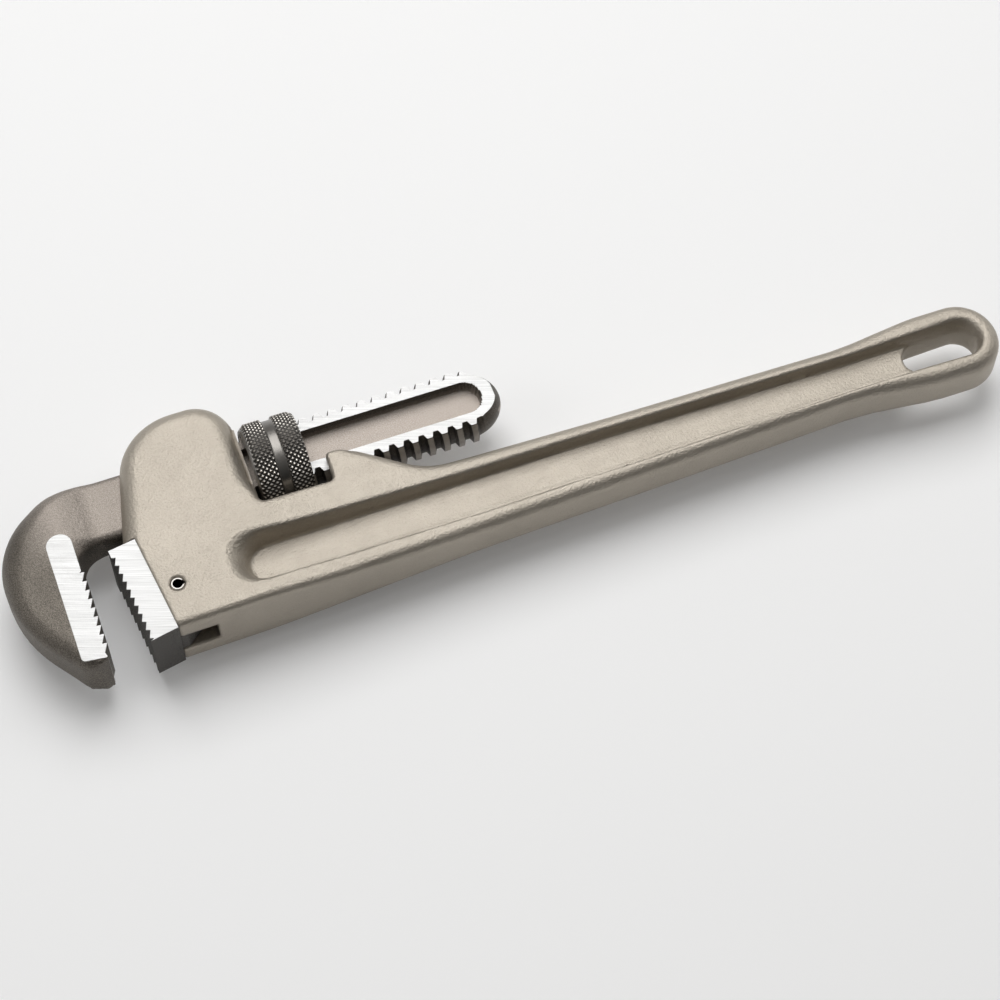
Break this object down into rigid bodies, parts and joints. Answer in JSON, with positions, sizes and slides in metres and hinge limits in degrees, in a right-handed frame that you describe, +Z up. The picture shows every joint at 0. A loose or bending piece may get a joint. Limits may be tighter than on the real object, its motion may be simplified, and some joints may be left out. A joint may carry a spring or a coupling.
{
  "type": "pipe wrench",
  "caption": "Adjustable pipe wrench: aluminium handle with integral head, pinned heel jaw, threaded hook jaw that floats on springs, and knurled adjusting nut.",
  "frame": {"origin": "centre of the bounding box at its bottom, under the nut's lowest rim", "axes": "+X along the shank towards the handle's end, +Y towards the back of the head, +Z up with the wrench lying flat"},
  "size_m": [0.356, 0.0858, 0.0337],
  "materials": {
    "casting": "champagne satin coat over a fine cast texture",
    "jaw_steel": "ground side faces, dark heat-treated teeth and edges",
    "pin_steel": "bright drawn strip",
    "forging": "dark rough forging with ground side faces",
    "nut_black": "black oxide with worn knurl tips",
    "spring_steel": "oiled spring steel"
  },
  "bodies": {
    "casting": {"handle": "casting", "heel_jaw": "jaw_steel", "heel_jaw_pin": "pin_steel", "coil_spring": "spring_steel"},
    "float": {"flat_spring": "spring_steel"},
    "nut": {"adjusting_nut": "nut_black"},
    "hook": {"hook_jaw": "forging"}
  },
  "joints": [
    {"name": "jaw_float", "type": "hinge", "parent": "casting", "child": "float", "pos_m": [-0.07675, 0.0153, 0.01685], "axis": [0, 0, 1], "range_deg": [-2, 2], "stiffness_Nm_per_rad": 12, "deforming": ["coil_spring"]},
    {"name": "nut_spin", "type": "hinge", "parent": "float", "child": "nut", "pos_m": [-0.07675, 0.0153, 0.01685], "axis": [1, 0, 0], "range_deg": [-472, 3231]},
    {"name": "jaw_slide", "type": "slide", "parent": "float", "child": "hook", "axis": [-1, 0, 0], "range_m": [-0.007, 0.048]}
  ],
  "couplings": [
    {"joint": "nut_spin", "follows": "jaw_slide", "rad_per_m": 1174.4}
  ]
}
